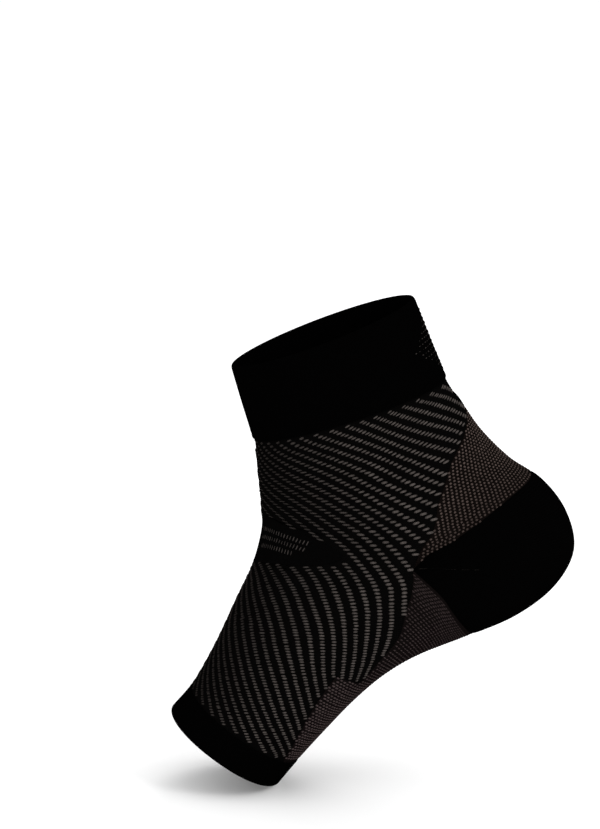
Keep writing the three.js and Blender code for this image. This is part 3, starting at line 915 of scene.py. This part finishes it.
# Heel pocket, with the ridge where its short rows turn
r = edge_spaced(60, 0.03, 5)
c = np.concatenate([[0.012, 0.03], np.linspace(0.05, 1, 90)])
R, C = np.meshgrid(r, c, indexing="ij")
S, T = heel_place(R, C)
T[:, -1] = 1
ridge = narrow(R, 0.5, 0.022)
ridge = ridge * np.clip((0.62 - C) / 0.2, 0, 1) * np.clip(C / 0.06, 0, 1)
drop = rounded(R, 0.42, 0.03) + rounded(np.clip(C / 0.1, 0, 1), 0.3, 0.5, False)
uv = np.stack([C * HEEL_WALES, R * HEEL_STITCHES], axis=-1)
outer = BAND_STEP - drop + 0.3 * ridge
inner = BAND_STEP - HEEL_WALL + 0 * S
shell("heel", S, T, outer, inner, uv, HEEL, "heel_pocket")

# Stitches along that ridge, a real seam line whose pale yarn is a painted highlight, palest at its
# end
c = np.linspace(0.07, 0.45, 25)
s, t = heel_place(0.5, c)
s2, t2 = heel_place(0.5, c + STEP)
# painted highlight: the seam's yarn is lightest near the ridge's end, where the light catches it
shade = np.interp(c, [0.07, 0.3, 0.4, 0.45], [0.1, 0.12, 0.4, 0.3])
floats(
    "gore_seam_painted_highlight", s, t, s2 - s, t2 - t, length=1.5, width=0.5, height=BAND_STEP + 0.34,
    sink=0.1, tilt=0.0, shade=shade, material=TICK, seed=16,
)

# Toe band, folded over at the mouth
r = edge_spaced(20, 0.08, 6)
c = np.linspace(0, 1, 141)
R, C = np.meshgrid(r, c, indexing="ij")
drop = rounded(R, 0.7, 0.08)
seam = 0.2 * narrow(R, 0.14, 0.025)
uv = np.stack([C * WALES, R * TOE_STITCHES], axis=-1)
outer = BAND_STEP - drop - seam
inner = BAND_STEP - TOE_BAND_WALL + drop * 0.9
shell("toe_edge", 1 - R, C, outer, inner, uv, BLACK, "toe_band")

# Oval on the instep
quarter = math.pi / 2 * 0.985
rows = PATCH_MIDDLE + PATCH_HALF * 0.995 * np.sin(np.linspace(-quarter, quarter, 60))
c = np.linspace(0, 1, 61)
ROW, C = np.meshgrid(rows, c, indexing="ij")
S, T = body_place(ROW, patch_share(ROW) * C)
edge = np.minimum(1, (1 - C) * patch_share(ROW) / 0.03)
inner = np.full_like(S, -PATCH_WALL)
uv = stitch_map(T, ROW)
shell("oval", S, T, 0.12 * edge - 0.02, inner, uv, WOVEN, "instep_patch")

# Three bands of upright ticks on the oval: body row, first share and number of ticks
TICK_BANDS = ((7.36, 0.08, 19), (7.84, 0.1, 18), (8.3, 0.12, 14))
TICK_STEP = 0.0215
row, share = np.array([
    (row, first + TICK_STEP * k) for row, first, ticks in TICK_BANDS for k in range(ticks)
]).T
s, t = body_place(row, share)
s2, t2 = body_place(row - 0.05, share)
floats(
    "oval_ticks", s, t, s2 - s, t2 - t, length=3.0, width=0.8, height=0.16, sink=0.12, tilt=0.0,
    shade=1.0, material=TICK, seed=14,
)

# A plain lozenge lattice of knots on the back of the cuff
LOZENGE_STATION = 15.5
LOZENGE_STEPS = 0.05, 0.021  # stations and shares from knot to knot
LOZENGE_HALF = 7.5, 0.18  # half height in knots and half width in shares
knots = []
for k in range(-7, 8):
    for m in range(0, 9):
        x = (m + 0.5 * (k % 2)) * LOZENGE_STEPS[1]
        if abs(k) / LOZENGE_HALF[0] + x / LOZENGE_HALF[1] < 1:
            knots.append((LOZENGE_STATION + k * LOZENGE_STEPS[0], 1 - x))
s, t = np.array(knots).T
floats(
    "cuff_knots", s, t, 0 * s, 0 * s - 0.004, length=1.5, width=1.0, height=CUFF_STEP + 0.24,
    sink=0.1, tilt=0.0, shade=0.9, material=TICK, seed=15,
)

# Camera: a long lens at the side, a little above
TARGET = np.array([-115.36, 0.0, 67.14]) * MM
ELEVATION = math.radians(11.5)
DISTANCE = 2.0  # metres
PIXELS_PER_MM = 2.3
PICTURE_HEIGHT = 829  # pixels
SENSOR = 36.0  # mm
camera_data = bpy.data.cameras.new("camera")
camera_data.sensor_fit = "VERTICAL"
camera_data.sensor_height = SENSOR
camera_data.lens = PIXELS_PER_MM * DISTANCE / MM * SENSOR / PICTURE_HEIGHT
camera_data.clip_end = 50
camera = bpy.data.objects.new("camera", camera_data)
camera.location = (
    TARGET[0],
    TARGET[1] - DISTANCE * math.cos(ELEVATION),
    TARGET[2] + DISTANCE * math.sin(ELEVATION),
)
camera.rotation_euler = (math.pi / 2 - ELEVATION, 0, 0)
bpy.context.scene.collection.objects.link(camera)
bpy.context.scene.camera = camera

# Plain pale floor, just under the lowest point
low = cad_box[0][2] - 0.6 * MM
reach = 12.0  # metres
FLOOR_SHADE = 0.94
WORLD_STRENGTH = 1.06
floor_mesh = bpy.data.meshes.new("floor")
floor_mesh.from_pydata(
    [(-reach, -reach, low), (reach, -reach, low), (reach, reach, low), (-reach, reach, low)],
    [], [(0, 1, 2, 3)],
)
floor = bpy.data.objects.new("floor", floor_mesh)
bpy.context.scene.collection.objects.link(floor)
pale = bpy.data.materials.new("pale_floor")
pale.use_nodes = True
shader = pale.node_tree.nodes["Principled BSDF"]
shader.inputs["Base Color"].default_value = (FLOOR_SHADE, FLOOR_SHADE, FLOOR_SHADE, 1)
shader.inputs["Roughness"].default_value = 0.9
floor_mesh.materials.append(pale)

# Soft studio light
world = bpy.data.worlds.new("studio")
world.use_nodes = True
world.node_tree.nodes["Background"].inputs[0].default_value = (1, 1, 1, 1)
world.node_tree.nodes["Background"].inputs[1].default_value = WORLD_STRENGTH
bpy.context.scene.world = world


def area_light(name, place, aim, size, power):
    """Round soft light at a place in metres, aimed at a point, its power in watts."""
    data = bpy.data.lights.new(name, "AREA")
    data.shape = "DISK"
    data.size = size
    data.energy = power
    light = bpy.data.objects.new(name, data)
    light.location = place
    direction = np.array(aim) - np.array(place)
    horizontal = math.hypot(direction[0], direction[1])
    light.rotation_euler = (
        math.atan2(horizontal, -direction[2]),
        0,
        math.atan2(direction[1], direction[0]) - math.pi / 2,
    )
    bpy.context.scene.collection.objects.link(light)


MIDDLE = (-0.09, 0, 0.02)
area_light("key", (1.5, -1.6, 1.3), MIDDLE, size=1.0, power=26)
area_light("fill", (-1.4, -1.6, 1.0), MIDDLE, size=1.2, power=5)
area_light("back", (0.4, 1.6, 1.4), MIDDLE, size=1.0, power=12)

bpy.context.scene.view_settings.view_transform = "Standard"
